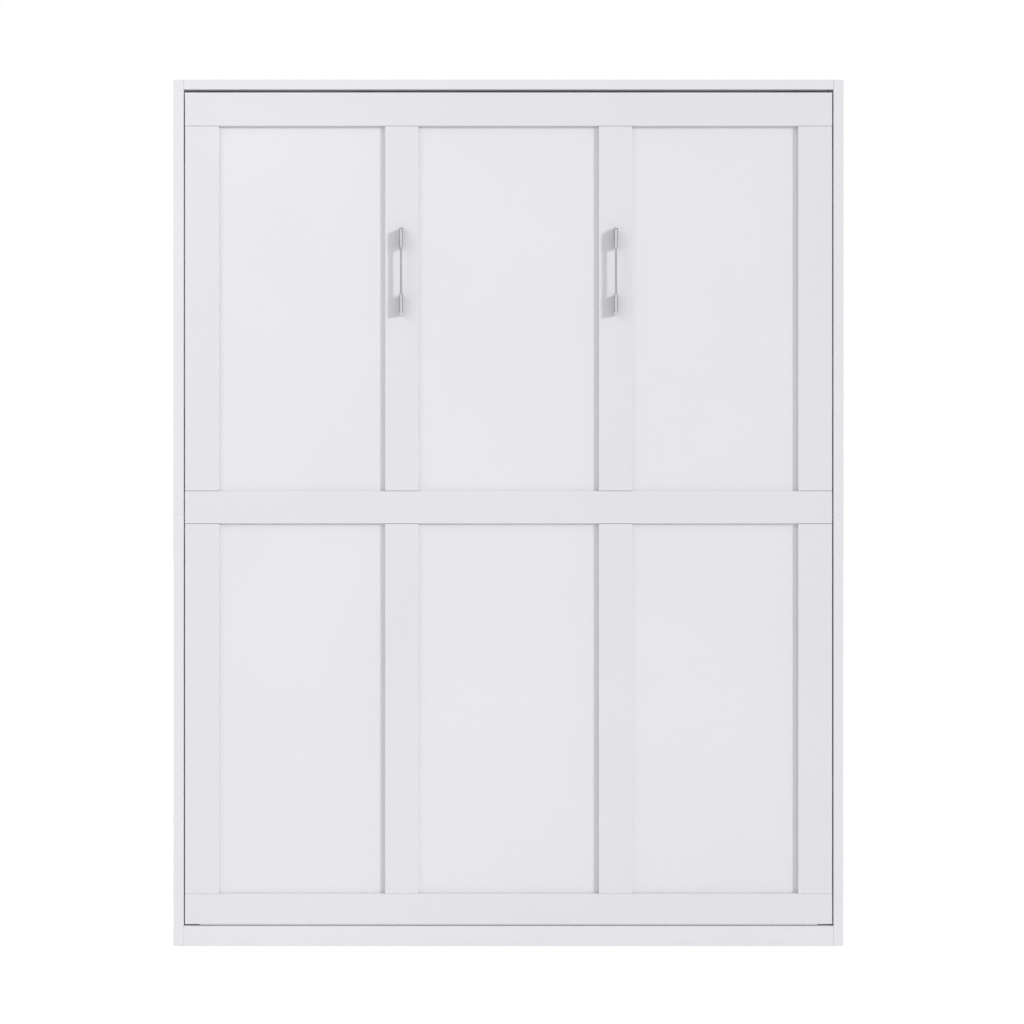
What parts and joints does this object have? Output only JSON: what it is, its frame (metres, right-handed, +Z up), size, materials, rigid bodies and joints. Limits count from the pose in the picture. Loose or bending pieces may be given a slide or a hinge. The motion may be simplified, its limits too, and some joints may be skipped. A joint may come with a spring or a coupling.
{
  "type": "vertical wall bed",
  "caption": "White queen-size wall bed, closed: a shallow cabinet whose panelled face is the underside of a bed that folds down on pivot pins with gas struts and swing-out legs.",
  "frame": {"origin": "on the floor, at the middle of the object's box: half-way between the two sides, and half-way between the handles' fronts and the cabinet's back", "axes": "+Z up along the height, which is the longest side; +Y from the face towards the wall; +X to the right as seen from the front"},
  "size_m": [1.67, 0.457, 2.16],
  "materials": {
    "white_lacquered_board": "satin",
    "white_melamine_board": "satin",
    "pine": "matte",
    "birch_slat": "matte",
    "zinc_plated_steel": "satin",
    "polished_chrome": "polished",
    "black_painted_steel": "satin",
    "white_painted_steel": "satin",
    "bronze_filled_plastic": "matte",
    "mattress_ticking": "matte",
    "strap_webbing": "matte"
  },
  "bodies": {
    "cabinet": {"left_side_lower": "white_lacquered_board", "left_side_upper": "white_lacquered_board", "right_side_lower": "white_lacquered_board", "right_side_upper": "white_lacquered_board", "top_panel": "white_lacquered_board", "kick_board": "white_lacquered_board", "lower_back_rail": "white_lacquered_board", "headboard_panel": "white_lacquered_board", "middle_wall_rail": "white_lacquered_board", "upper_wall_rail": "white_lacquered_board", "left_joint_plate": "zinc_plated_steel", "right_joint_plate": "zinc_plated_steel", "left_cabinet_plate": "zinc_plated_steel", "right_cabinet_plate": "zinc_plated_steel", "left_pivot_pin": "zinc_plated_steel", "right_pivot_pin": "zinc_plated_steel"},
    "bed": {"left_bed_rail": "white_melamine_board", "right_bed_rail": "white_melamine_board", "head_bed_rail": "white_melamine_board", "foot_bed_rail": "white_melamine_board", "left_slat_ledge": "pine", "right_slat_ledge": "pine", "centre_beam": "pine", "slat_1": "birch_slat", "slat_2": "birch_slat", "slat_3": "birch_slat", "slat_4": "birch_slat", "slat_5": "birch_slat", "slat_6": "birch_slat", "slat_7": "birch_slat", "slat_8": "birch_slat", "lower_face_board": "white_lacquered_board", "upper_face_board": "white_lacquered_board", "bottom_face_rail": "white_lacquered_board", "middle_face_rail": "white_lacquered_board", "top_face_rail": "white_lacquered_board", "lower_left_outer_stile": "white_lacquered_board", "lower_left_inner_stile": "white_lacquered_board", "lower_right_outer_stile": "white_lacquered_board", "lower_right_inner_stile": "white_lacquered_board", "upper_left_outer_stile": "white_lacquered_board", "upper_left_inner_stile": "white_lacquered_board", "upper_right_outer_stile": "white_lacquered_board", "upper_right_inner_stile": "white_lacquered_board", "left_handle": "polished_chrome", "right_handle": "polished_chrome", "left_bed_plate": "black_painted_steel", "right_bed_plate": "black_painted_steel", "left_pivot_bush": "bronze_filled_plastic", "right_pivot_bush": "bronze_filled_plastic", "mattress": "mattress_ticking", "mattress_strap": "strap_webbing", "left_leg_bolt": "zinc_plated_steel", "right_leg_bolt": "zinc_plated_steel"},
    "left_leg": {"left_leg": "white_painted_steel"},
    "right_leg": {"right_leg": "white_painted_steel"},
    "left_strut_cylinder": {"left_strut_cylinder": "black_painted_steel"},
    "left_strut_rod": {"left_strut_rod": "polished_chrome"},
    "right_strut_cylinder": {"right_strut_cylinder": "black_painted_steel"},
    "right_strut_rod": {"right_strut_rod": "polished_chrome"}
  },
  "joints": [
    {"name": "bed_fold", "type": "hinge", "parent": "cabinet", "child": "bed", "pos_m": [0, -0.1315, 0.3], "axis": [1, 0, 0], "range_deg": [0, 90]},
    {"name": "left_leg_swing", "type": "hinge", "parent": "bed", "child": "left_leg", "pos_m": [-0.64, -0.1465, 2.1325], "axis": [0, 0, -1], "range_deg": [0, 90]},
    {"name": "right_leg_swing", "type": "hinge", "parent": "bed", "child": "right_leg", "pos_m": [0.64, -0.1465, 2.1325], "axis": [0, 0, 1], "range_deg": [0, 90]},
    {"name": "left_strut_swing", "type": "hinge", "parent": "cabinet", "child": "left_strut_cylinder", "pos_m": [-0.797, 0.0085, 0.86], "axis": [1, 0, 0], "range_deg": [0, 15.36]},
    {"name": "left_strut_stroke", "type": "slide", "parent": "left_strut_cylinder", "child": "left_strut_rod", "axis": [0, 0.156, 0.9878], "range_m": [0, 0.2266]},
    {"name": "right_strut_swing", "type": "hinge", "parent": "cabinet", "child": "right_strut_cylinder", "pos_m": [0.797, 0.0085, 0.86], "axis": [1, 0, 0], "range_deg": [0, 15.36]},
    {"name": "right_strut_stroke", "type": "slide", "parent": "right_strut_cylinder", "child": "right_strut_rod", "axis": [0, 0.156, 0.9878], "range_m": [0, 0.2266]}
  ],
  "couplings": [
    {"joint": "left_strut_swing", "follows": "bed_fold", "ratio": 0.17014},
    {"joint": "left_strut_stroke", "follows": "bed_fold", "m_per_rad": 0.14393},
    {"joint": "right_strut_swing", "follows": "bed_fold", "ratio": 0.17014},
    {"joint": "right_strut_stroke", "follows": "bed_fold", "m_per_rad": 0.14393}
  ]
}
